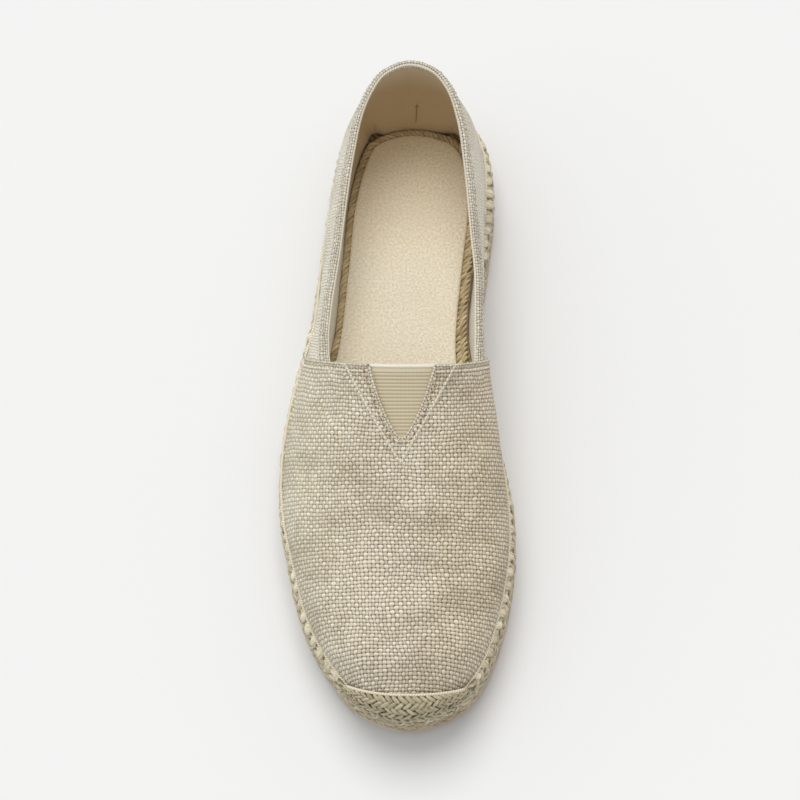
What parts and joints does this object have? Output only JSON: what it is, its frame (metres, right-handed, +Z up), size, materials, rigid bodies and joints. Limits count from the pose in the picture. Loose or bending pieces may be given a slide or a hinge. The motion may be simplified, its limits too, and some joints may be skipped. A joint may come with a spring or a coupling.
{
  "type": "espadrille",
  "caption": "Slip-on espadrille with a linen upper, elastic gore, braided jute toe guard, jute rope midsole and thin rubber outsole; right shoe.",
  "frame": {"origin": "middle of the footprint's box, on the ground under the outsole", "axes": "+Z up, +Y to the heel, -Y to the toe, +X to the inner (medial) side of a right foot"},
  "size_m": [0.0987, 0.282, 0.075],
  "materials": {
    "rubber": "matt natural rubber",
    "jute": "braided jute rope",
    "insole_cloth": "fine twill over jute",
    "linen": "coarse plain-weave linen",
    "elastic": "ribbed elastic webbing",
    "lining": "cotton twill lining",
    "thread": "cotton sewing thread"
  },
  "bodies": {
    "root": {"outsole": "rubber", "midsole": "jute", "insole": "insole_cloth", "upper": "linen", "elastic_gore": "elastic", "toe_cap": "jute"}
  },
  "joints": []
}
